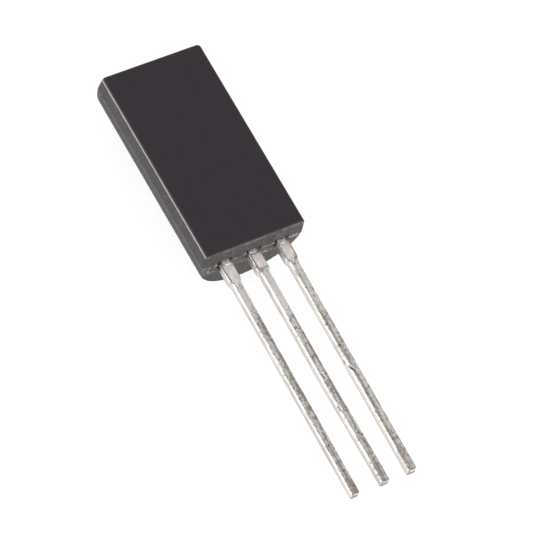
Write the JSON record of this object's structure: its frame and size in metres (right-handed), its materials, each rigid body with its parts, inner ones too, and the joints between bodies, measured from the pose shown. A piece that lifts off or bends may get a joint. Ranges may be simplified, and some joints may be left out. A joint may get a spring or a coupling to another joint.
{
  "type": "memory chip in a long-bodied three-lead moulded package",
  "caption": "Through-hole memory chip: a long moulded resin body with a flat front and a rounded back, and a row of straight tin-plated leads from one end.",
  "frame": {"origin": "under the middle of the whole part's length and width, on the surface that its rounded back rests on", "axes": "+Z out of the flat front face, +Y along the part from the lead tips to the body's closed end, +X across the width"},
  "size_m": [0.0046, 0.0192, 0.0029],
  "materials": {
    "resin": "matte moulded epoxy, almost black with a purple cast on the front and greyer, grainy walls",
    "tinned_lead": "tin-plated copper alloy, satin, finely mottled with streaks along the lead",
    "silver_adhesive": "cured silver-filled adhesive, matte",
    "silicon": "polished silicon, blue grey",
    "gold_wire": "drawn gold, bright"
  },
  "bodies": {
    "root": {"epoxy_body": "resin", "lead_left": "tinned_lead", "lead_centre": "tinned_lead", "lead_right": "tinned_lead", "die_attach": "silver_adhesive", "memory_die": "silicon", "bond_wire_left": "gold_wire", "bond_wire_right": "gold_wire"}
  },
  "joints": []
}
